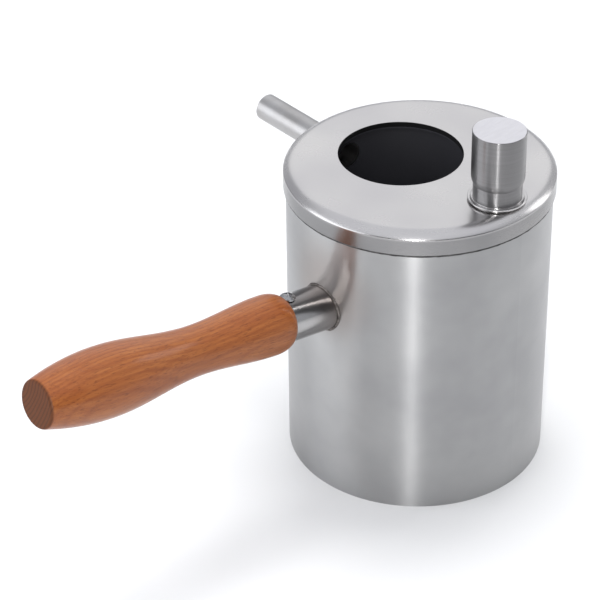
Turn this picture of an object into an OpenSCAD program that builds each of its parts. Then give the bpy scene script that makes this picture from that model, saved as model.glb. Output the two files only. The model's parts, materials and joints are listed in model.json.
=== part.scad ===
// Water-jacketed wax pot for beekeepers: a steel can with a wax cup hung inside it,
// a straight pouring spout, a water filler with a push-on cap and a turned wooden handle.
// Millimetres. Origin at the centre of the base, +Z up, handle near -Y, spout near -X.

/* [Can] */
// Outer diameter of the can
can_d = 130; // [124:1:160]
// Height from the base to the top of the lid
pot_h = 160; // [130:1:192]
// Sheet thickness of the can
can_wall = 0.8; // [0.6:0.1:1.2]
// Thickness of the base plate
base_t = 1.2; // [0.8:0.1:2]
// Height of the flange that the base plate turns up inside the can
base_flange_h = 8; // [5:0.5:12]

/* [Lid] */
// Sheet thickness of the lid
lid_t = 0.8; // [0.6:0.1:1]
// Depth of the lid from its flat top to the rim's lower edge
lid_rim_h = 11.5; // [10:0.5:14]
// Radius of the shoulder that rolls down from the flat top
lid_shoulder_r = 9; // [7:0.5:9]
// Drop of the shoulder, from the flat top to the corner of the rim
lid_drop = 3.2; // [2:0.1:3.6]
// Solder gap between the lid's rim and the can
lid_gap = 0.4; // [0.2:0.1:0.6]
// Height of the solder bead that shows under the rim
solder_bead = 1.2; // [0.6:0.1:2]

/* [Wax cup] */
// Inside diameter of the mouth seal, through which wax goes in
mouth_d = 61; // [50:1:73]
// Inside diameter of the cup
cup_d = 80; // [66:1:84]
// Sheet thickness of the cup
cup_wall = 0.8; // [0.6:0.1:1]
// Offset of the cup from the can's axis, towards the spout
cup_offset = 12.5; // [10:0.5:14]
// Water depth under the cup
cup_lift = 18; // [12:1:25]
// Thickness of the seal's sleeve inside the lid's hole
seal_sleeve_t = 0.7; // [0.5:0.1:1]
// Thickness of the seal's flange under the lid
seal_flange_t = 1.8; // [1.2:0.1:2.4]
// Width of the seal's flange
seal_flange_w = 5; // [3:0.5:6]
// Diameter of the three feet under the cup
foot_d = 8; // [6:0.5:10]

/* [Spout] */
// Outer diameter of the spout
spout_d = 14; // [12:0.5:15]
// Wall of the spout
spout_wall = 0.8; // [0.6:0.1:1]
// Length of the spout outside the can
spout_len = 51; // [35:1:70]
// Direction of the spout, counter-clockwise from +X
spout_turn = 175; // [170:1:190]
// Upward tilt of the spout
spout_rise = 1; // [0:0.5:3]
// Clear height between the spout and the lid's rim
spout_drop = 0.4; // [0.3:0.1:4]

/* [Filler and cap] */
// Outer diameter of the filler neck
neck_d = 23.4; // [20:0.1:28.2]
// Wall of the filler neck
neck_wall = 1; // [0.8:0.1:1.2]
// Height of the neck above the lid
neck_h = 34; // [26:1:40]
// Depth of the neck below the lid
neck_drop = 6; // [4:1:8]
// Distance from the collar to the lid's edge
collar_inset = 3; // [3:0.5:6]
// How far the collar at the foot of the neck stands out from it
collar_reach = 2.5; // [2:0.5:4]
// Diameter of the collar's rolled rim
collar_rim_d = 1.8; // [1.2:0.2:2]
// Wall of the cap's sleeve
cap_wall = 1; // [0.8:0.1:1.2]
// Running clearance between cap and neck, on the radius
cap_gap = 0.08; // [0.04:0.01:0.1]
// Thickness of the cap's top disc
cap_top_t = 1.2; // [1:0.1:2]
// Thickness of the seal inside the cap
cap_seal_t = 1.5; // [1:0.1:2]
// Height of the taper at the cap's lower edge
cap_taper_h = 1.8; // [0.5:0.1:3]
// Length of neck left bare under the cap
cap_stand = 9.5; // [7:0.5:12]

/* [Handle] */
// Direction of the handle, counter-clockwise from +X
handle_turn = 266.5; // [262:0.5:275]
// Upward tilt of the handle
handle_rise = 8.5; // [5:0.5:20]
// Height at which the handle's axis meets the can's surface
handle_z = 105.5; // [60:0.5:115]
// Outer diameter of the socket tube
socket_d = 22.8; // [20:0.1:27.4]
// Wall of the socket tube
socket_wall = 1; // [0.8:0.1:1.4]
// Distance along the handle from the can's surface to the wood
socket_len = 26; // [24:1:45]
// Length of the wooden grip outside the socket
grip_len = 143.5; // [120:0.5:170]
// Diameter of the grip near the socket
grip_neck_d = 29.6; // [26:0.2:32]
// Diameter of the grip's waist
grip_waist_d = 23.8; // [22:0.2:26]
// Largest diameter of the grip
grip_belly_d = 33.4; // [28:0.2:36]
// Diameter of the grip's end face
grip_end_d = 22.5; // [18:0.5:24]
// Length of the wooden spigot inside the socket
spigot_len = 20; // [14:1:21]
// Clearance between spigot and socket, on the radius
spigot_gap = 0.1; // [0.05:0.01:0.2]
// Thread diameter of the grip screw
screw_d = 4; // [3:0.5:5]
// Distance from the screw to the socket's open end
screw_inset = 2.9; // [2.7:0.1:8]

/* [Hidden] */
$fn = 96;
over = 1;

can_r = can_d / 2;
can_bore_r = can_r - can_wall;
lid_r = can_r + lid_gap + lid_t;
lid_under_z = pot_h - lid_t;
rim_z = pot_h - lid_rim_h;
// Width of the shoulder, and the can's top just under it
lid_shoulder_w = sqrt(pow(lid_shoulder_r, 2) - pow(lid_shoulder_r - lid_drop, 2));
can_top_z = pot_h - lid_drop - lid_t;
seam_w = 3;
seam_t = 0.25;
weld_leg = 1.5;

mouth_r = mouth_d / 2;
seal_r = mouth_r + seal_sleeve_t;
seal_top_inset = 0.2;
ring_t = 1;
ring_lap = 2.2;
cup_r = cup_d / 2;
cup_out_r = cup_r + cup_wall;
cup_top_z = lid_under_z - seal_flange_t - ring_t;
cup_bottom_t = 1;
foot_count = 3;
// The feet stand well inside the cup's wall
foot_ring_r = cup_r * 0.7;

spout_r = spout_d / 2;
spout_bore_r = spout_r - spout_wall;
// The spout's axis crosses the can's surface this high
spout_z = rim_z - spout_drop - spout_r / cos(spout_rise);
spout_end = (can_r + spout_len) / cos(spout_rise);

neck_r = neck_d / 2;
filler_x = lid_r - collar_inset - neck_r - collar_reach;
cap_bore_r = neck_r + cap_gap;
cap_r = cap_bore_r + cap_wall;
// The cap's seal rests this far above the neck's edge
seat_gap = 0.05;
cap_seal_z = pot_h + neck_h + seat_gap;
cap_disc_z = cap_seal_z + cap_seal_t;
cap_edge = 0.3;
// Thickness left at the tip of the cap's taper
cap_tip = 0.2;
// The collar's rim stays this far above the lid
collar_lift = 0.6;
// Thickness of the collar between its rim and the neck
collar_web = 0.9;

socket_r = socket_d / 2;
socket_bore_r = socket_r - socket_wall;
// Distance along the handle from the can's axis to its surface
handle_start = can_r / cos(handle_rise);
handle_axis_z = handle_z - can_r * tan(handle_rise);
socket_end = handle_start + socket_len;
grip_steps = 60;
grip_shoulder = 0.06;
grip_waist_at = 0.37;
grip_belly_at = 0.74;
screw_at = socket_end - screw_inset;
screw_r = screw_d / 2;
screw_len = 12;
screw_hole_gap = 0.1;
head_r = screw_r * 1.9;
head_h = screw_d * 0.6;
recess_w = screw_d * 0.2;
recess_depth = head_h * 0.65;
notch_gap = 0.3;

// Smooth step from a to b as t goes from 0 to 1
function ease(a, b, t) = a + (b - a) * (1 - cos(180 * t)) / 2;

// Radius of the turned grip at a share of its length
function grip_r(t) =
    t < grip_shoulder
        ? socket_r + (grip_neck_d / 2 - socket_r) * sqrt(1 - pow(1 - t / grip_shoulder, 2))
    : t < grip_waist_at
        ? ease(grip_neck_d, grip_waist_d, (t - grip_shoulder) / (grip_waist_at - grip_shoulder)) / 2
    : t < grip_belly_at
        ? ease(grip_waist_d, grip_belly_d, (t - grip_waist_at) / (grip_belly_at - grip_waist_at)) / 2
    : (grip_belly_d - (grip_belly_d - grip_end_d) * pow((t - grip_belly_at) / (1 - grip_belly_at), 2)) / 2;

// A plain tube standing on the XY plane
module tube(r_out, r_in, h) {
    difference() {
        cylinder(r = r_out, h = h);
        translate([0, 0, -over]) cylinder(r = r_in, h = h + 2 * over);
    }
}

// A flat ring with a triangular section: leg up the wall and leg out along the plate
module fillet_ring(r, leg) {
    rotate_extrude() polygon([[r, 0], [r + leg, 0], [r, leg]]);
}

// Half the section of the lid, from its rim's lower edge up.
// Inset by the sheet's thickness it is the section of the space under the lid.
module lid_section(inset) {
    r = lid_r - inset;
    shoulder = lid_shoulder_r - inset;
    flat_r = lid_r - lid_shoulder_w;
    centre_z = lid_rim_h - lid_shoulder_r;
    square([flat_r, lid_rim_h - inset]);
    square([r, centre_z + sqrt(pow(shoulder, 2) - pow(r - flat_r, 2))]);
    intersection() {
        square([r, lid_rim_h]);
        translate([flat_r, centre_z]) circle(r = shoulder);
    }
}

// Moves its children from the XY plane to the cup's axis
module at_cup() {
    translate([-cup_offset, 0, 0]) children();
}

// Turns +Z into the spout's axis, from the can's axis outwards
module along_spout() {
    translate([0, 0, spout_z - can_r * tan(spout_rise)])
        rotate([0, 90 - spout_rise, spout_turn]) children();
}

// Turns +Z into the handle's axis, from the can's axis outwards; +Y stays on top
module along_handle() {
    translate([0, 0, handle_axis_z])
        rotate([90 - handle_rise, 0, handle_turn - 270]) children();
}

module can_wall() {
    color("silver") difference() {
        tube(can_r, can_bore_r, can_top_z);
        along_spout() cylinder(r = spout_r, h = spout_end);
    }
}

// The can's lengthwise weld, ground nearly flush, on the side away from the handle
module can_seam() {
    color("darkgray") difference() {
        intersection() {
            cylinder(r = can_r + seam_t, h = pot_h);
            translate([-seam_w / 2, 0, 0]) cube([seam_w, can_d, rim_z - over]);
        }
        translate([0, 0, -over]) cylinder(r = can_r, h = pot_h + 2 * over);
    }
}

module base_plate() {
    color("gainsboro") {
        cylinder(r = can_bore_r, h = base_t);
        tube(can_bore_r, can_bore_r - base_t, base_flange_h);
    }
}

module base_weld() {
    color("dimgray") translate([0, 0, base_flange_h]) rotate_extrude()
        polygon([[can_bore_r, 0], [can_bore_r - base_t, 0], [can_bore_r, weld_leg]]);
}

// The pressed lid before its holes are cut
module lid_shell() {
    translate([0, 0, rim_z]) rotate_extrude() difference() {
        lid_section(0);
        lid_section(lid_t);
        translate([0, -over]) square([lid_r - lid_t, 2 * over]);
    }
}

module lid() {
    color("lightgray") difference() {
        lid_shell();
        at_cup() cylinder(r = seal_r, h = pot_h + over);
        translate([filler_x, 0, 0]) cylinder(r = neck_r, h = pot_h + over);
    }
}

// Fills the gap between rim and can, with a bead under the rim that stops at the spout's weld
module lid_solder() {
    color("dimgray") difference() {
        rotate_extrude() polygon([[can_r, rim_z - solder_bead], [can_r + lid_gap + lid_t / 2, rim_z],
            [can_r + lid_gap, rim_z], [can_r + lid_gap, can_top_z], [can_r, can_top_z]]);
        intersection() {
            along_spout() cylinder(r = spout_r + weld_leg, h = spout_end);
            cylinder(r = lid_r, h = rim_z);
        }
    }
}

// The black seal lines the lid's hole and is squeezed between the lid and the cup's top ring
module mouth_seal() {
    color("black") at_cup() {
        translate([0, 0, lid_under_z - seal_flange_t])
            tube(seal_r, mouth_r, seal_flange_t + lid_t - seal_top_inset);
        translate([0, 0, lid_under_z - seal_flange_t])
            tube(seal_r + seal_flange_w, seal_r, seal_flange_t);
    }
}

module cup_top_ring() {
    color("slategray") at_cup() translate([0, 0, cup_top_z])
        tube(cup_out_r + ring_lap, seal_r, ring_t);
}

module cup_wall() {
    color("slategray") difference() {
        at_cup() translate([0, 0, cup_lift]) tube(cup_out_r, cup_r, cup_top_z - cup_lift);
        along_spout() cylinder(r = spout_r, h = spout_end);
    }
}

module cup_bottom() {
    color("slategray") at_cup() translate([0, 0, cup_lift]) cylinder(r = cup_r, h = cup_bottom_t);
}

module cup_bottom_weld() {
    color("dimgray") at_cup() translate([0, 0, cup_lift - weld_leg / 2])
        tube(cup_out_r, cup_r - weld_leg, weld_leg / 2);
}

module cup_feet() {
    color("gray") at_cup() for (i = [0 : foot_count - 1])
        rotate(180 + i * 360 / foot_count) translate([foot_ring_r, 0, base_t])
            cylinder(d = foot_d, h = cup_lift - base_t);
}

module spout_tube() {
    color("silver") difference() {
        along_spout() tube(spout_r, spout_bore_r, spout_end);
        at_cup() cylinder(r = cup_r, h = pot_h);
    }
}

module spout_cup_weld() {
    color("dimgray") difference() {
        intersection() {
            along_spout() tube(spout_r + weld_leg, spout_r, spout_end);
            at_cup() cylinder(r = cup_out_r + weld_leg, h = cup_top_z);
        }
        at_cup() cylinder(r = cup_out_r, h = pot_h);
    }
}

// Stops short of the lid's rim, which laps down over the can just above it
module spout_can_weld() {
    color("dimgray") difference() {
        intersection() {
            along_spout() tube(spout_r + weld_leg, spout_r, spout_end);
            cylinder(r = can_r + weld_leg, h = rim_z - spout_drop / 2);
        }
        cylinder(r = can_r, h = pot_h);
    }
}

module filler_neck() {
    color("silver") translate([filler_x, 0, lid_under_z - neck_drop])
        tube(neck_r, neck_r - neck_wall, neck_h + lid_t + neck_drop);
}

// A dished ring: its foot stands on the lid and its rolled rim hangs clear of it
module filler_collar() {
    rim_at = collar_reach - collar_rim_d / 2;
    color("silver") translate([filler_x, 0, pot_h]) rotate_extrude() {
        translate([neck_r, 0]) square([rim_at / 2, collar_lift + collar_web]);
        translate([neck_r, collar_lift]) square([rim_at, collar_web]);
        translate([neck_r + rim_at, collar_lift + collar_rim_d / 2]) circle(d = collar_rim_d);
    }
}

module filler_weld() {
    color("dimgray") difference() {
        translate([filler_x, 0, lid_under_z]) mirror([0, 0, 1]) fillet_ring(neck_r, weld_leg);
        lid_shell();
    }
}

// The sleeve tapers in at its lower edge, almost to the neck
module cap_sleeve() {
    h = cap_disc_z - pot_h - cap_stand;
    color("silver") translate([filler_x, 0, pot_h + cap_stand]) rotate_extrude()
        polygon([[cap_bore_r, 0], [cap_bore_r + cap_tip, 0], [cap_r, cap_taper_h],
            [cap_r, h], [cap_bore_r, h]]);
}

// The top disc is welded on and turned, with a small chamfer round its edge
module cap_top() {
    color("silver") translate([filler_x, 0, cap_disc_z]) {
        cylinder(r = cap_r, h = cap_top_t - cap_edge);
        translate([0, 0, cap_top_t - cap_edge])
            cylinder(r1 = cap_r, r2 = cap_r - cap_edge, h = cap_edge);
    }
}

module cap_seal() {
    color("black") translate([filler_x, 0, cap_seal_z]) cylinder(r = cap_bore_r, h = cap_seal_t);
}

module handle_socket() {
    color("silver") difference() {
        along_handle() tube(socket_r, socket_bore_r, socket_end);
        cylinder(r = can_r, h = pot_h);
        along_handle() translate([0, 0, screw_at]) rotate([-90, 0, 0])
            cylinder(r = screw_r + screw_hole_gap, h = socket_d);
    }
}

module socket_weld() {
    color("dimgray") difference() {
        intersection() {
            along_handle() tube(socket_r + weld_leg, socket_r, socket_end);
            cylinder(r = can_r + weld_leg, h = pot_h);
        }
        cylinder(r = can_r, h = pot_h);
    }
}

// Turned from one piece of beech, with a spigot that goes into the socket.
// The shoulder is notched for the screw's head.
module handle_grip() {
    spigot_r = socket_bore_r - spigot_gap;
    color("peru") difference() {
        along_handle() translate([0, 0, socket_end]) rotate_extrude() polygon(concat(
            [[0, -spigot_len], [spigot_r, -spigot_len], [spigot_r, 0]],
            [for (i = [0 : grip_steps]) [grip_r(i / grip_steps), grip_len * i / grip_steps]],
            [[0, grip_len]]));
        along_handle() translate([0, socket_r, screw_at]) {
            rotate([90, 0, 0]) cylinder(r = screw_r, h = screw_len);
            translate([0, -notch_gap, 0]) rotate([-90, 0, 0])
                cylinder(r = head_r + notch_gap, h = socket_r);
        }
    }
}

// A pan-head screw with a cross recess, through the socket into the spigot
module grip_screw() {
    color("gainsboro") along_handle() translate([0, socket_r, screw_at]) rotate([-90, 0, 0]) {
        difference() {
            intersection() {
                cylinder(r = head_r, h = head_h);
                translate([0, 0, head_h - head_r * 1.35]) sphere(r = head_r * 1.35);
            }
            for (turn = [45, 135]) rotate(turn)
                translate([-head_r * 0.55, -recess_w / 2, head_h - recess_depth])
                    cube([head_r * 1.1, recess_w, head_h]);
        }
        translate([0, 0, -screw_len]) cylinder(r = screw_r, h = screw_len);
    }
}

can_wall();
can_seam();
base_plate();
base_weld();
lid();
lid_solder();
mouth_seal();
cup_top_ring();
cup_wall();
cup_bottom();
cup_bottom_weld();
cup_feet();
spout_tube();
spout_cup_weld();
spout_can_weld();
filler_neck();
filler_collar();
filler_weld();
cap_sleeve();
cap_top();
cap_seal();
handle_socket();
socket_weld();
handle_grip();
grip_screw();
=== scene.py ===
# %% [markdown]
# # A wax pot with a water jacket
#
# Beekeepers melt wax in a pot like this one. Water fills the space between an outer can and an
# inner cup, so the wax never sees a bare flame. The pot has four kinds of surface worth learning
# from: brushed sheet steel, turned tube, weld metal and varnished beech. This lesson loads the
# measured model, gives every piece its finish, and rebuilds the pieces whose beauty is in fine
# shape: the turned grip, the beads of weld and solder, the collar, the cap and the lid.

# %% Load the measured model
import json
import math

import bmesh
import bpy
from mathutils import Matrix, Vector


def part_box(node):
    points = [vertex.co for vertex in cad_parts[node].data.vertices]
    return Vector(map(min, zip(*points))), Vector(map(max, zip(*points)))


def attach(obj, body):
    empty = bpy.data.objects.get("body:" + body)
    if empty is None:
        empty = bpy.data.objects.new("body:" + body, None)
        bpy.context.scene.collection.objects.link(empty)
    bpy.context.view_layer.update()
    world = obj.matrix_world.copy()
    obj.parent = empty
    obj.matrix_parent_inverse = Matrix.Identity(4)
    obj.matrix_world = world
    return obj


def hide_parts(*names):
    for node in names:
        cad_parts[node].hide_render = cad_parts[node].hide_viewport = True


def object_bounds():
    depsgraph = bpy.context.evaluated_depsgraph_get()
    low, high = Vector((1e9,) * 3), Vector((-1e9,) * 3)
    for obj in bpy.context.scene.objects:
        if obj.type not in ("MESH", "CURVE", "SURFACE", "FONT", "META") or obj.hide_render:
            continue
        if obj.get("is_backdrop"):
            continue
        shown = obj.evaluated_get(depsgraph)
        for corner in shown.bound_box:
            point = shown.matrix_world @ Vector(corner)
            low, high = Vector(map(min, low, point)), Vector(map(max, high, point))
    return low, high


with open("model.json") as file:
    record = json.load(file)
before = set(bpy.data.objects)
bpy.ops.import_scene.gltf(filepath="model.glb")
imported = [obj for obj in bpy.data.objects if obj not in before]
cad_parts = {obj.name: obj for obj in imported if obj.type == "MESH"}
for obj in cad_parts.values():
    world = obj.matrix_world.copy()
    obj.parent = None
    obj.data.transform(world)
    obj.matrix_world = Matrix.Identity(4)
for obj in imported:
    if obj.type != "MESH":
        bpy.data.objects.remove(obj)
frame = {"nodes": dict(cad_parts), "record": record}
cad_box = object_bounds()
MM = 0.001

# %% [markdown]
# ## Places that the pieces share
#
# A piece goes where the measured model says. The boxes of the can, the lid, the seal and the neck
# give the axes of everything upright and round. The handle and the spout lean, and a box says
# little about a leaning tube, so their directions are kept here as two angles each: how far they
# rise and which way they turn.

# %% Read the places from the model
lid_low, lid_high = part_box("lid")
seal_low, seal_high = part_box("mouth_seal")
neck_low, neck_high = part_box("filler_neck")

CAN_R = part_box("can_wall")[1].x
LID_R = lid_high.x
LID_TOP = lid_high.z
RIM_LOW = lid_low.z
MOUTH = Vector(((seal_low.x + seal_high.x) / 2, 0, LID_TOP))
NECK = Vector(((neck_low.x + neck_high.x) / 2, 0, LID_TOP))
NECK_R = (neck_high.x - neck_low.x) / 2

HANDLE_RISE = math.radians(8.5)
HANDLE_Z = 105.5 * MM
HANDLE_TURN = math.radians(266.5)
SOCKET_R = 11.4 * MM
SOCKET_LENGTH = 26 * MM
GRIP_LENGTH = 143.5 * MM

SPOUT_RISE = math.radians(1)
SPOUT_TURN = math.radians(175)
SPOUT_R = 7 * MM
SPOUT_GAP = 0.4 * MM  # between the lid's rim and the top of the spout
SPOUT_Z = RIM_LOW - SPOUT_GAP - SPOUT_R / math.cos(SPOUT_RISE)


def leaning(rise, turn, height):
    """The matrix that turns +Z into an axis leaving the can at this height; +Y stays on top."""
    start = Matrix.Translation((0, 0, height - CAN_R * math.tan(rise)))
    around = Matrix.Rotation(turn + math.pi / 2, 4, "Z")
    return start @ around @ Matrix.Rotation(math.pi / 2 - rise, 4, "X")


ALONG_HANDLE = leaning(HANDLE_RISE, HANDLE_TURN, HANDLE_Z)
SOCKET_END = CAN_R / math.cos(HANDLE_RISE) + SOCKET_LENGTH
print("can radius", round(CAN_R / MM, 2), "mouth at", round(MOUTH.x / MM, 2))
print("neck at", round(NECK.x / MM, 2), "wood starts at", round(SOCKET_END / MM, 2))

# %% [markdown]
# ## Floor, light and camera
#
# Polished metal shows its surroundings, so the room is half of its finish. A plain pale floor
# runs up to a pale room; big soft lamps stand behind and to the left, and the side where the
# viewer stands is dimmer. That dim side is what gives the can its grey middle. A tall thin lamp
# gives the can its one bright line.

# %% Put in the floor
CAMERA_SIDE = Vector((0.6634, -0.7465, 0)).normalized()
FLOOR_REACH = 3.0


def floor_sheet(name, reach):
    """A square sheet under the pot that runs far to every side."""
    front = CAMERA_SIDE * reach
    right = Vector((-front.y, front.x, 0))
    corners = [front - right, front + right, right - front, -front - right]
    mesh = bpy.data.meshes.new(name)
    mesh.from_pydata(corners, [], [(0, 1, 2, 3)])
    sheet = bpy.data.objects.new(name, mesh)
    bpy.context.collection.objects.link(sheet)
    return sheet


floor = floor_sheet("floor", FLOOR_REACH)
floor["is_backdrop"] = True
print("floor faces up:", floor.data.polygons[0].normal.z > 0)

# %% [markdown]
# Every lamp is a soft rectangle that faces the middle of the pot. The one overhead lights the
# floor and the wood but stays out of reflections: its image would lie on the lid's shoulder as a
# hard white band, where a large soft ceiling leaves an even sheen.

# %% Hang the lamps
TARGET = Vector((0, 0, 0.08))


def lamp(name, place, size, power, colour=(1, 1, 1)):
    """A soft rectangular lamp at a place, facing the pot."""
    data = bpy.data.lights.new(name, "AREA")
    data.shape = "RECTANGLE"
    data.size, data.size_y = size
    data.energy = power
    data.color = colour
    holder = bpy.data.objects.new(name, data)
    holder.location = place
    holder.rotation_mode = "QUATERNION"
    holder.rotation_quaternion = (TARGET - Vector(place)).to_track_quat("-Z", "Y")
    bpy.context.collection.objects.link(holder)
    return holder


def around(degrees, away, height):
    """A place by its direction round the pot, its distance from the axis and its height."""
    turn = math.radians(degrees)
    return (away * math.cos(turn), away * math.sin(turn), height)


top_lamp = lamp("top_lamp", around(120, 0.3, 1.3), (0.5, 0.5), 10)
top_lamp.visible_glossy = False
lamp("back_lamp", around(132, 1.25, 0.92), (1.6, 1.0), 3)
lamp("strip_lamp", around(-51.5, 1.3, 0.62), (0.09, 1.2), 10)
lamp("left_lamp", around(-118, 1.25, 0.5), (1.25, 1.0), 10, (0.95, 0.97, 1))
lamp("right_lamp", around(68, 1.35, 0.6), (0.4, 1.0), 3)
print("lamps:", len(bpy.data.lights), "watts:", sum(light.energy for light in bpy.data.lights))

# %% Set up the camera
CAMERA_PLACE = Vector((0.6634, -0.7465, 0.7457))
CAMERA_AIM = Vector((-0.0415, -0.0415, 0.0809))
CAMERA_LENS = 143.6
CAMERA_ROLL = math.radians(-0.755)

camera_data = bpy.data.cameras.new("camera")
camera_data.lens = CAMERA_LENS
camera_data.sensor_width = 36
camera = bpy.data.objects.new("camera", camera_data)
camera.location = CAMERA_PLACE
camera.rotation_mode = "QUATERNION"
aim = (CAMERA_AIM - CAMERA_PLACE).to_track_quat("-Z", "Y")
camera.rotation_quaternion = aim @ Matrix.Rotation(CAMERA_ROLL, 3, "Z").to_quaternion()
bpy.context.collection.objects.link(camera)
bpy.context.scene.camera = camera
print("camera to pot, mm:", round((CAMERA_PLACE - CAMERA_AIM).length / MM))

# %% [markdown]
# ## Writing nodes as sums
#
# Shader and geometry nodes are arithmetic drawn as boxes. One small class lets the arithmetic be
# written down instead: it wraps an output socket, and each operator adds the Math node that it
# stands for. The same class serves materials and Geometry Nodes.


# %% A wire that adds and multiplies
class Wire:
    """An output socket that can be used like a number; maths() adds the Math node."""

    def __init__(self, graph, socket):
        self.graph = graph
        self.socket = socket

    def maths(self, operation, *others):
        return self.graph.node("ShaderNodeMath", {"operation": operation}, (self, *others))

    def out(self, name):
        return Wire(self.graph, self.socket.node.outputs[name])

    def __add__(self, other):
        return self.maths("ADD", other)

    def __sub__(self, other):
        return self.maths("SUBTRACT", other)

    def __rsub__(self, other):
        return self * -1 + other

    def __mul__(self, other):
        return self.maths("MULTIPLY", other)

    def __truediv__(self, other):
        return self.maths("DIVIDE", other)

    def __pow__(self, other):
        return self.maths("POWER", other)

    __radd__ = __add__
    __rmul__ = __mul__

    def share(self, low, high):
        """0 below low, 1 above high and straight between them."""
        return self.graph.node("ShaderNodeMapRange", {}, (self, low, high, 0, 1))

    def ease(self, low, high):
        """0 below low, 1 above high, with a soft start and a soft stop."""
        return 0.5 - 0.5 * (math.pi * self.share(low, high)).maths("COSINE")


# %% A graph that takes nodes
class Graph:
    """A node tree that takes a node's type, its settings, and the values of its sockets."""

    def __init__(self, tree):
        self.tree = tree

    def node(self, kind, settings=None, values=()):
        """Adds a node, sets it up and fills its sockets with numbers or wires."""
        made = self.tree.nodes.new(kind)
        for key, value in (settings or {}).items():
            setattr(made, key, value)
        pairs = values.items() if isinstance(values, dict) else enumerate(values)
        for key, value in pairs:
            if isinstance(value, Wire):
                self.tree.links.new(value.socket, made.inputs[key])
            else:
                made.inputs[key].default_value = value
        return Wire(self, made.outputs[0]) if made.outputs else made

    def vector(self, operation, *values):
        return self.node("ShaderNodeVectorMath", {"operation": operation}, values)

    def parts(self, vector):
        """The x, y and z of a vector, as three wires."""
        split = self.node("ShaderNodeSeparateXYZ", {}, (vector,))
        return split, split.out("Y"), split.out("Z")

    def joined(self, x, y, z):
        return self.node("ShaderNodeCombineXYZ", {}, (x, y, z))


# %% [markdown]
# The room itself is the first thing written this way. It is pale all round but dim behind the
# viewer, from the floor up to about half the height of the sky. Polished tube shows that dim
# part as the dark stripe that makes it look like metal. A picture of a real room could be wrapped
# round the pot instead, but a room made of three numbers is easier to steer. What the camera sees
# directly is left white.

# %% Fill the room
ROOM_PALE, ROOM_DIM, ROOM_TOP = 0.62, 0.1, 0.42
ROOM_COLOUR = (0.93, 0.95, 1, 1)
BACKDROP = 1.1  # enough to show white through the bluish colour
world = bpy.data.worlds.new("room")
bpy.context.scene.world = world
world.use_nodes = True
world.node_tree.nodes.clear()
room = Graph(world.node_tree)
look = room.node("ShaderNodeTexCoord").out("Generated")
facing = room.vector("DOT_PRODUCT", look, tuple(CAMERA_SIDE)).out("Value")
height = room.parts(look)[2]
dim = facing.ease(0.25, 0.6) * (1 - height.ease(0.45, 0.72))
lit = ROOM_PALE - (ROOM_PALE - ROOM_DIM) * dim + ROOM_TOP * height.ease(0.6, 0.85)
seen = room.node("ShaderNodeLightPath")
values = {"Color": ROOM_COLOUR, "Strength": lit + (BACKDROP - lit) * seen}
light = room.node("ShaderNodeBackground", {}, values)
room.node("ShaderNodeOutputWorld", {}, {"Surface": light})
bpy.context.scene.view_settings.view_transform = "Standard"
print("room nodes:", len(world.node_tree.nodes))

# %% [markdown]
# ## Shapes that follow a rule
#
# The grip was turned on a lathe, and a weld bead runs where a tube meets the can. Both could be
# modelled by hand, but both follow a rule that fits in a few lines, so both are Geometry Nodes:
# the sizes are inputs of the tree, and one tree serves every bead. The result is taken as a plain
# mesh, and the modifier goes away.


# %% A geometry tree with named sizes
class Rule(Graph):
    """A Geometry Nodes tree whose sizes are named inputs."""

    KINDS = {int: "NodeSocketInt", float: "NodeSocketFloat"}

    def __init__(self, name, **sizes):
        tree = bpy.data.node_groups.new(name, "GeometryNodeTree")
        tree.interface.new_socket("Geometry", in_out="OUTPUT", socket_type="NodeSocketGeometry")
        for label, value in sizes.items():
            kind = self.KINDS[type(value)]
            socket = tree.interface.new_socket(label, in_out="INPUT", socket_type=kind)
            socket.default_value = value
        super().__init__(tree)
        entry = self.node("NodeGroupInput")
        self.size = {label: entry.out(label) for label in sizes}

    def close(self, geometry, material):
        real = self.node("GeometryNodeRealizeInstances", {}, (geometry,))
        values = {"Geometry": real, "Material": material}
        painted = self.node("GeometryNodeSetMaterial", {}, values)
        self.node("NodeGroupOutput", {}, {"Geometry": painted})

    def placed(self, geometry, position):
        values = {"Geometry": geometry, "Position": position}
        return self.node("GeometryNodeSetPosition", {}, values)

    def grown(self, name, place=Matrix(), **sizes):
        """A plain mesh object, made by the tree with these sizes and then put in its place."""
        seed = bpy.data.objects.new(name + "_seed", bpy.data.meshes.new(name + "_seed"))
        bpy.context.collection.objects.link(seed)
        modifier = seed.modifiers.new("rule", "NODES")
        modifier.node_group = self.tree
        for item in self.tree.interface.items_tree:
            if item.name in sizes:
                modifier[item.identifier] = sizes[item.name]
        evaluated = seed.evaluated_get(bpy.context.evaluated_depsgraph_get())
        mesh = bpy.data.meshes.new_from_object(evaluated)
        bpy.data.objects.remove(seed)
        mesh.name = name
        mesh.transform(place)
        return finished(name, mesh)


# %% Closing a mesh and handing it to its body
CREASE = math.radians(35)
DOUBLE = 0.002 * MM


def finished(name, mesh):
    """An object for a closed mesh: doubles merged, faces outward, smooth but for its creases."""
    work = bmesh.new()
    work.from_mesh(mesh)
    bmesh.ops.remove_doubles(work, verts=work.verts, dist=DOUBLE)
    bmesh.ops.recalc_face_normals(work, faces=work.faces)
    work.to_mesh(mesh)
    open_edges = sum(not edge.is_manifold for edge in work.edges)
    work.free()
    mesh.polygons.foreach_set("use_smooth", [True] * len(mesh.polygons))
    mesh.set_sharp_from_angle(angle=CREASE)
    piece = bpy.data.objects.new(name, mesh)
    bpy.context.collection.objects.link(piece)
    print(name, "faces:", len(mesh.polygons), "open edges:", open_edges)
    return piece


def settle(piece, body, slot, *nodes):
    """Makes a piece ride on its body, in place of these nodes of the measured model."""
    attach(piece, body)
    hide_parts(*nodes)


# %% [markdown]
# ## Finishes
#
# A finish is a material with one Principled shader. Patterns read Object coordinates, because
# every piece keeps its place in its mesh and the pattern then lies still on the steel. Colours are
# given as they look on a screen and turned to linear light here.


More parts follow.
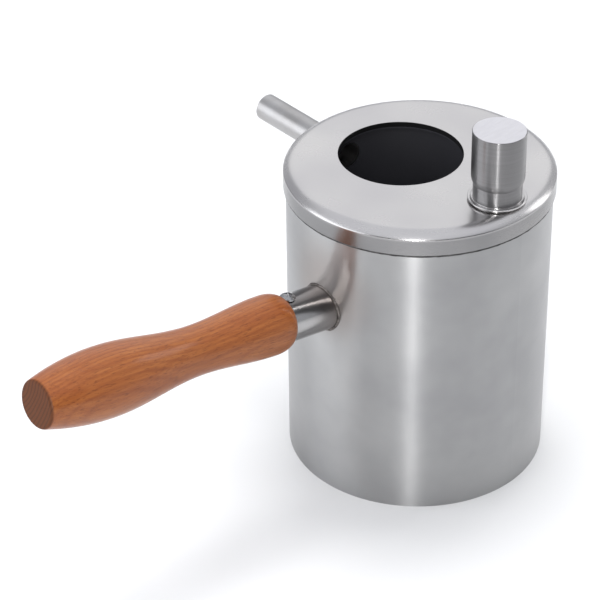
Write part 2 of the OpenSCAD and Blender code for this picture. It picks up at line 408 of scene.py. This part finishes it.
# %% Colours and finishes
def tone(red, green, blue):
    """A colour from its 0 to 255 screen values, as linear light."""
    shares = [c / 255 for c in (red, green, blue)]
    return tuple(s / 12.92 if s <= 0.04045 else ((s + 0.055) / 1.055) ** 2.4 for s in shares) + (1,)


class Finish(Graph):
    """A material whose nodes are written as sums."""

    def __init__(self, name):
        self.material = bpy.data.materials.new(name)
        self.material.use_nodes = True
        self.material.node_tree.nodes.clear()
        super().__init__(self.material.node_tree)
        self.place = self.node("ShaderNodeTexCoord").out("Object")

    def noise(self, vector, scale, detail=2.0, roughness=0.5):
        values = {"Vector": vector, "Scale": scale, "Detail": detail, "Roughness": roughness}
        return self.node("ShaderNodeTexNoise", {}, values)

    def stretched(self, vector, x, y, z):
        return self.vector("MULTIPLY", vector, (x, y, z))

    def moved(self, vector, rotation=(0, 0, 0), location=(0, 0, 0)):
        values = {"Vector": vector, "Rotation": rotation, "Location": location}
        return self.node("ShaderNodeMapping", {"vector_type": "TEXTURE"}, values)

    def mixed(self, share, first, second):
        mix = self.node("ShaderNodeMix", {"data_type": "RGBA"}, {0: share, 6: first, 7: second})
        return Wire(self, mix.socket.node.outputs[2])

    def bumped(self, height, distance, strength=1.0):
        values = {"Height": height, "Distance": distance, "Strength": strength}
        return self.node("ShaderNodeBump", {}, values)

    def surface(self, **sockets):
        named = {key.replace("_", " ").title(): value for key, value in sockets.items()}
        named = {key.replace("Ior", "IOR"): value for key, value in named.items()}
        shader = self.node("ShaderNodeBsdfPrincipled", {}, named)
        self.node("ShaderNodeOutputMaterial", {}, {"Surface": shader})
        return self.material


# %% [markdown]
# ### Brushed sheet
#
# The can was brushed while it turned, so its scratches run round it. They could be painted on a
# picture and wrapped round the can, but noise has no seam and no edge. It is squeezed hard along
# the can's axis and hardly at all round it, shifts the roughness and tilts the surface a little.
# Anisotropy does the rest: light smears across the scratches, which turns every lamp into an
# upright band on the wall.


# %% Brushed steel round an axis
def brushed(finish, squeeze, along=14.0):
    """Fine and coarse scratches that run round the Z axis, as one value from 0 to 1."""
    fine = finish.noise(finish.stretched(finish.place, along, along, squeeze), 1.0, 3.0, 0.7)
    coarse = finish.noise(finish.stretched(finish.place, along, along, squeeze / 6), 1.0, 2.0, 0.6)
    return 0.6 * fine + 0.4 * coarse


def near(finish, spot, reach):
    """1 at a spot, falling softly to 0 at this reach from it."""
    apart = finish.vector("DISTANCE", finish.place, tuple(spot)).out("Value")
    return 1 - apart.ease(0.25 * reach, reach)


SOCKET_FOOT = ALONG_HANDLE @ Vector((0, 0, CAN_R / math.cos(HANDLE_RISE)))


# %% [markdown]
# Welding leaves its mark on the wall. The steel round the socket has a brown bloom, which fades
# within a few centimetres and climbs towards the rim. The lid's rim is painted darker than its flat
# top: painted shade on the rim and painted light on the top of one and the same sheet.


# %% The can and its lid
BLOOM_CENTRE = SOCKET_FOOT + Vector((4, 0, 12)) * MM
BLOOM_REACH = 34 * MM
# The lid's rim gets painted shade below the first height and its flat top painted light above the
# second.
RIM_EDGE, FLAT_EDGE = LID_TOP - 4.4 * MM, LID_TOP - 2.6 * MM


def can_steel():
    finish = Finish("can_steel_brushed")
    scratch = brushed(finish, 2600)
    cloud = finish.noise(finish.place, 22, 3.0, 0.55)
    bloom = near(finish, BLOOM_CENTRE, BLOOM_REACH) * (0.5 + cloud)
    colour = finish.mixed(cloud.share(0.35, 0.7), tone(158, 158, 159), tone(173, 173, 173))
    colour = finish.mixed(0.42 * bloom, colour, tone(142, 127, 117))
    return finish.surface(
        base_color=colour,
        metallic=1.0,
        roughness=0.24 + 0.12 * scratch + 0.04 * cloud,
        anisotropic=0.9,
        anisotropic_rotation=0.25,
        normal=finish.bumped(scratch, 0.00002, 0.5),
    )


def lid_steel():
    finish = Finish("lid_steel_brushed")
    scratch = brushed(finish, 900, 60)
    cloud = finish.noise(finish.place, 18, 2.0, 0.5)
    height = finish.parts(finish.place)[2]
    # Painted light: a lighter tone on the flat top and painted shade on the rim, chosen by height
    # alone.
    painted_light_share = height.share(RIM_EDGE, FLAT_EDGE)
    side = finish.mixed(cloud.share(0.35, 0.65), tone(130, 130, 131), tone(149, 148, 148))
    painted_light_flat = finish.mixed(cloud.share(0.35, 0.65), tone(186, 184, 185), tone(198, 196, 195))
    return finish.surface(
        base_color=finish.mixed(painted_light_share, side, painted_light_flat),
        metallic=1.0,
        roughness=0.2 + 0.08 * scratch + 0.05 * cloud,
        anisotropic=0.5,
        anisotropic_rotation=0.25,
        normal=finish.bumped(scratch, 0.00002, 0.4),
    )


# %% [markdown]
# ### Turned and drawn tube
#
# The cap and its neck were turned, so they carry finer rings than the can, and the cap's face was
# rubbed flat. The socket and the spout are drawn tube. The socket is almost polished and brown
# near its weld from the heat; the spout has gone dull.


# %% The tubes
def cap_steel():
    finish = Finish("cap_steel_turned")
    scratch = brushed(finish, 4200, 20)
    return finish.surface(
        base_color=finish.mixed(scratch, tone(112, 111, 111), tone(150, 149, 150)),
        metallic=1.0,
        roughness=0.26 + 0.09 * scratch,
        anisotropic=0.96,
        anisotropic_rotation=0.25,
        normal=finish.bumped(scratch, 0.00002, 0.6),
    )


# Painted light: the disc, which faces up, gets a far paler tone than the sleeve; the rubbed marks
# are real.
def cap_face_painted_light():
    finish = Finish("cap_face_steel_rubbed")
    rubbed = finish.noise(finish.stretched(finish.place, 500, 120, 400), 1.0, 4.0, 0.7)
    return finish.surface(
        base_color=finish.mixed(rubbed, tone(200, 198, 202), tone(226, 225, 228)),
        metallic=1.0,
        roughness=0.36 + 0.12 * rubbed,
        normal=finish.bumped(rubbed, 0.00003, 0.4),
    )


def tube_steel(name, dull):
    finish = Finish(name)
    cloud = finish.noise(finish.place, 90, 3.0, 0.6)
    fine = finish.noise(finish.place, 1500, 2.0, 0.6)
    bloom = near(finish, SOCKET_FOOT, 22 * MM) * (0.6 + 0.8 * cloud)
    colour = finish.mixed(cloud, tone(156, 153, 151), tone(182, 182, 183))
    return finish.surface(
        base_color=finish.mixed(0.4 * bloom, colour, tone(132, 114, 106)),
        metallic=1.0,
        roughness=dull + 0.08 * cloud + 0.04 * fine + 0.08 * bloom,
        normal=finish.bumped(fine, 0.00001, 0.4),
    )


def cup_steel():
    finish = Finish("cup_steel_dark")
    cloud = finish.noise(finish.place, 40, 2.0, 0.5)
    return finish.surface(
        base_color=finish.mixed(cloud, tone(58, 58, 64), tone(68, 68, 73)),
        metallic=0.2,
        roughness=0.6 + 0.1 * cloud,
    )


# %% [markdown]
# ### Weld, solder, the black seal and zinc
#
# Weld metal is lumpy and tinted, so its colour and its bump share one noise. The can's lengthwise
# weld was ground flush and is nearly as pale as the sheet. Solder is dull, and its dark tone is
# partly painted shade. The seal under the mouth is painted shade: a near-black matt ring with
# hardly any sheen, standing for the shadow under the mouth's edge. The screw is bright.


# %% Weld metal, solder, the black seal and zinc
def weld_steel():
    finish = Finish("weld_steel_tinted")
    cloud = finish.noise(finish.place, 420, 3.0, 0.65)
    return finish.surface(
        base_color=finish.mixed(cloud.share(0.35, 0.7), tone(58, 53, 51), tone(134, 128, 124)),
        metallic=0.8,
        roughness=0.3 + 0.3 * cloud,
        normal=finish.bumped(cloud, 0.0002, 0.6),
    )


def ground_weld():
    finish = Finish("weld_ground_flush")
    cloud = finish.noise(finish.stretched(finish.place, 300, 300, 90), 1.0, 3.0, 0.6)
    return finish.surface(
        base_color=finish.mixed(cloud, tone(142, 140, 138), tone(172, 171, 171)),
        metallic=1.0,
        roughness=0.36 + 0.12 * cloud,
    )


# Partly real solder, partly painted shade: the dark tone also stands for the dark band under the
# rim.
def solder_and_painted_shade():
    finish = Finish("solder_dark_seam")
    cloud = finish.noise(finish.place, 240, 3.0, 0.6)
    return finish.surface(
        base_color=finish.mixed(cloud.share(0.3, 0.75), tone(44, 44, 45), tone(96, 95, 94)),
        metallic=0.6,
        roughness=0.5 + 0.2 * cloud,
        normal=finish.bumped(cloud, 0.0002, 0.5),
    )


# Painted shade: the seal's near-black tone stands for the shadow under the mouth's edge.
def black_rubber():
    finish = Finish("black_rubber_matt")
    grain = finish.noise(finish.place, 2200, 2.0, 0.6)
    return finish.surface(
        base_color=finish.mixed(grain, tone(5, 5, 6), tone(13, 13, 14)),
        specular_ior_level=0.2,
        roughness=0.7 + 0.1 * grain,
        normal=finish.bumped(grain, 0.00003, 0.5),
    )


def screw_steel():
    finish = Finish("screw_steel_plated")
    cloud = finish.noise(finish.place, 700, 2.0, 0.6)
    return finish.surface(
        base_color=finish.mixed(cloud, tone(128, 128, 130), tone(176, 176, 178)),
        metallic=1.0,
        roughness=0.22 + 0.12 * cloud,
    )


# %% [markdown]
# ### Varnished beech
#
# Beech has faint growth rings and many short dark flecks that lie along the grain. The wood is
# treated as solid: rings are rings round the middle of a tree, which stands beside the grip, so
# the end face shows curved lines and the sides show long stripes, with no seam between them.
# The sawn end drinks more varnish than the sides, so it is darker and has no gloss.


# %% Beech under varnish
PITH_X, PITH_Y = -30 * MM, 12 * MM
RING_PACE = 3300
END_LOW = SOCKET_END + GRIP_LENGTH - 1.3 * MM
END_HIGH = SOCKET_END + GRIP_LENGTH - 0.5 * MM


def beech():
    finish = Finish("beech_varnished")
    turn, origin = ALONG_HANDLE.to_euler(), ALONG_HANDLE.to_translation()
    wood = finish.moved(finish.place, rotation=tuple(turn), location=tuple(origin))
    x, y, z = finish.parts(wood)
    sway = finish.noise(finish.stretched(wood, 40, 40, 9), 1.0, 2.0, 0.5)
    away = finish.vector("LENGTH", finish.joined(x - PITH_X, y - PITH_Y, 0.0)).out("Value")
    ring = (0.5 + 0.5 * (away * RING_PACE + sway * 16).maths("SINE")) ** 3.0
    streak = finish.noise(finish.stretched(wood, 620, 620, 22), 1.0, 4.0, 0.7)
    fleck = finish.noise(finish.stretched(wood, 2300, 2300, 260), 1.0, 1.0, 0.5).share(0.58, 0.7)
    broad = finish.noise(finish.stretched(wood, 90, 90, 14), 1.0, 2.0, 0.5)
    body = finish.mixed(streak.share(0.3, 0.72), tone(130, 68, 26), tone(160, 97, 47))
    body = finish.mixed(0.5 * broad.share(0.4, 0.7), body, tone(132, 66, 26))
    ringed = finish.mixed(0.4 * ring, body, tone(118, 58, 24))
    side = finish.mixed(0.5 * fleck, ringed, tone(88, 40, 16))
    end = z.share(END_LOW, END_HIGH)
    sawn = finish.mixed(0.6 * ring + 0.4 * streak, tone(88, 46, 20), tone(50, 26, 10))
    colour = finish.mixed(0.92 * end, side, sawn)
    return finish.surface(
        base_color=colour,
        roughness=0.4 + 0.12 * streak + 0.2 * end,
        specular_ior_level=0.25,
        coat_weight=0.42 - 0.41 * end,
        coat_roughness=0.15,
        normal=finish.bumped(fleck * -1.0 + 0.3 * streak, 0.00006, 0.5),
    )


# %% Lay the finishes on the measured pieces
FINISHES = {
    "can_steel": can_steel(),
    "lid_steel": lid_steel(),
    "tube_steel": tube_steel("tube_steel_drawn", 0.1),
    "spout_steel": tube_steel("spout_steel_dulled", 0.3),
    "cap_steel": cap_steel(),
    "cap_face_painted_light": cap_face_painted_light(),
    "cup_steel": cup_steel(),
    "weld": weld_steel(),
    "ground_weld": ground_weld(),
    "solder": solder_and_painted_shade(),
    "black_rubber": black_rubber(),
    "beech": beech(),
    "screw_steel": screw_steel(),
}
SPECIAL = dict.fromkeys(("filler_neck", "filler_collar", "cap_sleeve", "cap_top"), "cap_steel")
SPECIAL["spout_tube"] = "spout_steel"
SPECIAL["can_seam"] = "ground_weld"
slot_of = {part["node"]: part["material_slot"] for part in frame["record"]["subparts"]}
for name, node in frame["nodes"].items():
    node.material_slots[0].material = FINISHES[SPECIAL.get(name, slot_of[name])]
print("finishes:", len(FINISHES))

FLOOR_GREY = (0.72, 0.72, 0.72, 1)
floor.data.materials.append(Finish("floor_plain").surface(base_color=FLOOR_GREY, roughness=0.9))

# %% [markdown]
# ## The turned grip
#
# The grip swells, narrows and swells again, and its radius is a rule of the distance from the
# socket. It could be lathed from a list of points, but then the list would be the shape; with a
# rule, five radii and three places along the grip are enough. A tall cylinder of many rings is
# made first. Each ring is then pushed out to the radius that the rule gives, and the rings crowd
# together near the two ends, where the shape turns fast.

# %% The rule of the grip
grip_rule = Rule(
    "grip_rule", length=0.1, socket=0.01, neck=0.01, waist=0.01, belly=0.01, end=0.01, round=0.001,
    shoulder_at=0.1, waist_at=0.4, belly_at=0.7, rings=100, sides=64,
)
size = grip_rule.size
values = {"Vertices": size["sides"], "Side Segments": size["rings"], "Radius": 1.0, "Depth": 1.0}
rod = grip_rule.node("GeometryNodeMeshCylinder", {"fill_type": "NGON"}, values)
x, y, z = grip_rule.parts(grip_rule.node("GeometryNodeInputPosition"))
share = (z + 0.5).ease(0.0, 1.0)
narrowing = share.ease(size["shoulder_at"], size["waist_at"])
swelling = share.ease(size["waist_at"], size["belly_at"])
waist = size["neck"] + (size["waist"] - size["neck"]) * narrowing
belly = waist + (size["belly"] - size["waist"]) * swelling
tail = belly - (size["belly"] - size["end"]) * share.share(size["belly_at"], 1.0) ** 2.0
shoulder = (1 - (1 - share.share(0.0, size["shoulder_at"])) ** 2.0) ** 0.5
body = size["socket"] + (tail - size["socket"]) * shoulder
corner = (share * size["length"]).share(size["length"] - size["round"], size["length"])
radius = body - size["round"] * (1 - (1 - corner ** 2.0).maths("MAXIMUM", 0.0) ** 0.5)
turned = grip_rule.placed(rod, grip_rule.joined(x * radius, y * radius, share * size["length"]))
grip_rule.close(turned, FINISHES["beech"])

grip = grip_rule.grown(
    "grip", ALONG_HANDLE @ Matrix.Translation((0, 0, SOCKET_END)),
    length=GRIP_LENGTH, socket=SOCKET_R, neck=14.8 * MM, waist=11.9 * MM, belly=16.7 * MM,
    end=11.25 * MM, round=1.3 * MM, shoulder_at=0.06, waist_at=0.37, belly_at=0.74,
    rings=180, sides=128,
)
settle(grip, "pot", "beech", "handle_grip")

# %% [markdown]
# ## Weld beads
#
# A bead lies where a round tube meets the round can. It could be the overlap of two swollen tubes,
# but that has one even width, and a hand-laid weld never keeps its width. So the line is found
# first: for each angle round the tube, the rule gives the distance along the tube at which its
# wall reaches the can. A bead of uneven thickness is then swept along that closed line.

# %% The rule of a bead
bead_rule = Rule(
    "bead_rule", can=0.1, tube=0.01, rise=0.1, height=0.1, bead=0.001, uneven=0.5, points=100,
)
size = bead_rule.size
loop = bead_rule.node("GeometryNodeMeshCircle", {}, {"Vertices": size["points"], "Radius": 1.0})
angle = bead_rule.node("GeometryNodeInputIndex") * math.tau / size["points"]
aside = size["tube"] * angle.maths("COSINE")
above = size["tube"] * angle.maths("SINE")
reach = (size["can"] ** 2.0 - aside ** 2.0) ** 0.5
sine, cosine = size["rise"].maths("SINE"), size["rise"].maths("COSINE")
along = (reach + above * sine) / cosine
axis_z = size["height"] - size["can"] * size["rise"].maths("TANGENT")
up = axis_z + along * sine + above * cosine
line = bead_rule.placed(loop, bead_rule.joined(reach, aside, up))


def lay_bead(rule, line, material):
    """Sweeps an uneven bead along a closed line and closes the tree."""
    values = {"Resolution": 12, "Radius": rule.size["bead"]}
    ring = rule.node("GeometryNodeCurvePrimitiveCircle", {}, values)
    curve = rule.node("GeometryNodeMeshToCurve", {}, (line,))
    swept = rule.node("GeometryNodeCurveToMesh", {}, {"Curve": curve, "Profile Curve": ring})
    values = {"Vector": rule.node("GeometryNodeInputPosition"), "Scale": 420.0, "Detail": 2.0}
    lumps = rule.node("ShaderNodeTexNoise", {}, values) - 0.5
    push = rule.size["bead"] * rule.size["uneven"] * lumps
    values = {0: rule.node("GeometryNodeInputNormal"), "Scale": push}
    out = rule.node("ShaderNodeVectorMath", {"operation": "SCALE"}, values)
    lumpy = rule.node("GeometryNodeSetPosition", {}, {"Geometry": swept, "Offset": out})
    rule.close(lumpy, material)


lay_bead(bead_rule, line, FINISHES["weld"])

# %% Lay the welds
socket_bead = bead_rule.grown(
    "socket_bead", Matrix.Rotation(HANDLE_TURN, 4, "Z"), can=CAN_R, tube=SOCKET_R + 0.2 * MM,
    rise=HANDLE_RISE, height=HANDLE_Z, bead=0.75 * MM, uneven=1.6, points=160,
)
settle(socket_bead, "pot", "weld", "socket_weld")
spout_bead = bead_rule.grown(
    "spout_bead", Matrix.Rotation(SPOUT_TURN, 4, "Z"), can=CAN_R, tube=SPOUT_R + 0.1 * MM,
    rise=SPOUT_RISE, height=SPOUT_Z, bead=0.6 * MM, uneven=1.4, points=110,
)
settle(spout_bead, "pot", "weld", "spout_can_weld")

# %% [markdown]
# The lid is soldered on. A dark line shows under the rim all the way round: partly solder, partly
# painted shade for the dark band just under the rim. It is laid by the same sweep, along a plain
# circle.

# %% Lay the solder
seam_rule = Rule("seam_rule", around=0.1, height=0.1, bead=0.001, uneven=0.5, points=200)
size = seam_rule.size
values = {"Vertices": size["points"], "Radius": size["around"]}
loop = seam_rule.node("GeometryNodeMeshCircle", {}, values)
x, y, _ = seam_rule.parts(seam_rule.node("GeometryNodeInputPosition"))
line = seam_rule.placed(loop, seam_rule.joined(x, y, size["height"]))
lay_bead(seam_rule, line, FINISHES["solder"])
seam = seam_rule.grown(
    "rim_solder_and_painted_shade", around=CAN_R + 0.3 * MM, height=RIM_LOW - 0.75 * MM, bead=0.62 * MM,
    uneven=1.1, points=400,
)
settle(seam, "pot", "weld", "lid_solder")

# %% [markdown]
# ## The collar
#
# The neck stands in a small dished collar. It hangs clear of the lid, so a thin black gap shows
# under its lip. A ring like this is one outline spun round an axis. A screw modifier could spin
# it, but a short loop gives a mesh whose every point is known. Where two neighbouring points of
# the outline lie on the axis, there is no face to make.


# %% A lathe for upright round pieces
def lathed(name, outline, centre, steps, material):
    """A closed outline of radius and height, spun round an upright axis."""
    mesh = bpy.data.meshes.new(name)
    count = len(outline)
    points = []
    for step in range(steps):
        turn = math.tau * step / steps
        for r, h in outline:
            points.append(centre + Vector((r * math.cos(turn), r * math.sin(turn), h)))
    faces = []
    for step in range(steps):
        here, there = step * count, (step + 1) % steps * count
        for i in range(count):
            j = (i + 1) % count
            if outline[i][0] or outline[j][0]:
                faces.append((here + i, here + j, there + j, there + i))
    mesh.from_pydata(points, [], faces)
    if material:
        mesh.materials.append(material)
    return finished(name, mesh)


RING_STEPS = 128
COLLAR = [  # millimetres out from the neck and up from the lid
    (0, 0), (0.7, 0), (0.8, 0.65), (2.1, 0.72), (2.4, 0.9), (2.5, 1.2), (2.42, 1.5),
    (2.2, 1.66), (1.8, 1.66), (1.3, 1.5), (0.8, 1.22), (0.35, 1.08), (0.1, 1.15), (0, 1.4),
]
outline = [(NECK_R + r * MM, h * MM) for r, h in COLLAR]
# The collar stands above the lid's top, so the lid finish gives it the lighter painted-light tone.
collar = lathed("collar", outline, NECK, RING_STEPS, FINISHES["lid_steel"])
settle(collar, "pot", "tube_steel", "filler_collar")

# %% [markdown]
# ## The cap
#
# The sleeve was turned together with the disc in its top, so its outer wall is one smooth face
# up to a fine chamfer. Both could be one piece, but the disc has its own rubbed face and a far
# paler tone, so they stay two and meet at the chamfer. The paler tone is painted light on the
# disc, which faces up. The sleeve's lower edge closes in on the neck.

# %% Lathe the cap
CAP_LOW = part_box("cap_sleeve")[0].z - LID_TOP
CAP_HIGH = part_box("cap_top")[1].z - LID_TOP
CAP_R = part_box("cap_sleeve")[1].x - NECK.x
DISC_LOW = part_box("cap_top")[0].z - LID_TOP
CAP_BORE = NECK_R + 0.08 * MM
CHAMFER = 0.3 * MM
DISC_R = CAP_R - CHAMFER
FLARE = [(0.66, 0.7), (0.36, 1.6), (0.12, 2.6), (0.02, 3.6), (0, 4.4)]  # in from the side, up
SLEEVE = [
    (CAP_BORE, CAP_LOW), (CAP_BORE + 0.05 * MM, CAP_LOW),
    *[(CAP_R - r * MM, CAP_LOW + h * MM) for r, h in FLARE],
    (CAP_R, CAP_HIGH - CHAMFER), (DISC_R, CAP_HIGH), (DISC_R, DISC_LOW), (CAP_BORE, DISC_LOW),
]
DISC = [(0, DISC_LOW), (DISC_R, DISC_LOW), (DISC_R, CAP_HIGH), (0, CAP_HIGH)]
sleeve = lathed("cap_shell", SLEEVE, NECK, RING_STEPS, FINISHES["cap_steel"])
settle(sleeve, "cap", "tube_steel", "cap_sleeve")
disc = lathed("cap_disc", DISC, NECK, RING_STEPS, FINISHES["cap_face_painted_light"])
settle(disc, "cap", "tube_steel", "cap_top")

# %% [markdown]
# ## The lid
#
# The lid was pressed from sheet: a flat top, a wide shoulder, then a tight corner where the metal
# turns down into the rim. That corner catches the light in a thin line, so it is modelled as a
# real radius. The holes could be left open in the lathed sheet if they sat on its axis, but both
# are off-centre, so they are cut afterwards, as the press does. The mouth's hole comes up to the
# inside of the seal, so that the steel ends right at the seal's black wall, which is painted shade.

# %% Draw the lid's outline
SHEET = 0.8 * MM
SHOULDER_R, SHOULDER_DROP = 9 * MM, 3.2 * MM
CORNER_R = 0.9 * MM
RIM_HEIGHT = LID_TOP - RIM_LOW
SHOULDER_WIDE = math.sqrt(SHOULDER_R ** 2 - (SHOULDER_R - SHOULDER_DROP) ** 2)
FLAT_R = LID_R - SHOULDER_WIDE


def arc(centre, radius, start, stop, steps):
    """Points on an arc between two angles, given in degrees from the outward direction."""
    turns = [math.radians(start + (stop - start) * i / steps) for i in range(steps + 1)]
    return [(centre[0] + radius * math.cos(t), centre[1] + radius * math.sin(t)) for t in turns]


def lid_outline():
    """The closed section of the lid: its outer face from the middle out, then its inner face."""
    low = -SHOULDER_R
    corner_x = LID_R - CORNER_R
    inside = SHOULDER_R - CORNER_R
    corner_z = low + math.sqrt(inside ** 2 - (corner_x - FLAT_R) ** 2)
    bend = math.degrees(math.atan2(corner_z - low, corner_x - FLAT_R))
    outer = [(0, 0), (FLAT_R - MM, 0)] + arc((FLAT_R, low), SHOULDER_R, 90, bend, 14)
    outer += arc((corner_x, corner_z), CORNER_R, bend, 0, 6)[1:] + [(LID_R, -RIM_HEIGHT)]
    inner_r = LID_R - SHEET
    under = SHOULDER_R - SHEET
    inner_bend = math.degrees(math.acos((inner_r - FLAT_R) / under))
    inner = [(inner_r, -RIM_HEIGHT)] + arc((FLAT_R, low), under, inner_bend, 90, 10)
    return outer + inner + [(FLAT_R - MM, -SHEET), (0, -SHEET)]


# %% Lathe it and cut the holes
PUNCH = 20 * MM
HOLE_R = 30.65 * MM
LID_STEPS = 192


def cut_hole(piece, centre, radius):
    """Cuts a round upright hole with a boolean and applies it."""
    section = [(0, -PUNCH), (radius, -PUNCH), (radius, PUNCH), (0, PUNCH)]
    tool = lathed("tool", section, centre, RING_STEPS, None)
    cut = piece.modifiers.new("hole", "BOOLEAN")
    cut.object, cut.solver = tool, "EXACT"
    evaluated = piece.evaluated_get(bpy.context.evaluated_depsgraph_get())
    mesh = bpy.data.meshes.new_from_object(evaluated)
    piece.modifiers.clear()
    piece.data = mesh
    bpy.data.objects.remove(tool)


LID_CENTRE = Vector((0, 0, LID_TOP))
blank = lathed("lid_blank", lid_outline(), LID_CENTRE, LID_STEPS, FINISHES["lid_steel"])
cut_hole(blank, MOUTH, HOLE_R)
cut_hole(blank, NECK, NECK_R)
pressed = finished("pressed_lid", blank.data.copy())
bpy.data.objects.remove(blank)
settle(pressed, "pot", "lid_steel", "lid")

# %% [markdown]
# ## Measure and finish
#
# The two boxes are set side by side: the measured model's and the finished pot's. The size of the
# finished pot is printed.

# %% Measure and finish
visual_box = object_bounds()
boxes = {"cad": [list(c) for c in cad_box], "visual": [list(c) for c in visual_box]}
print("size, mm:", [round((high - low) / MM, 1) for low, high in zip(*boxes["visual"])])
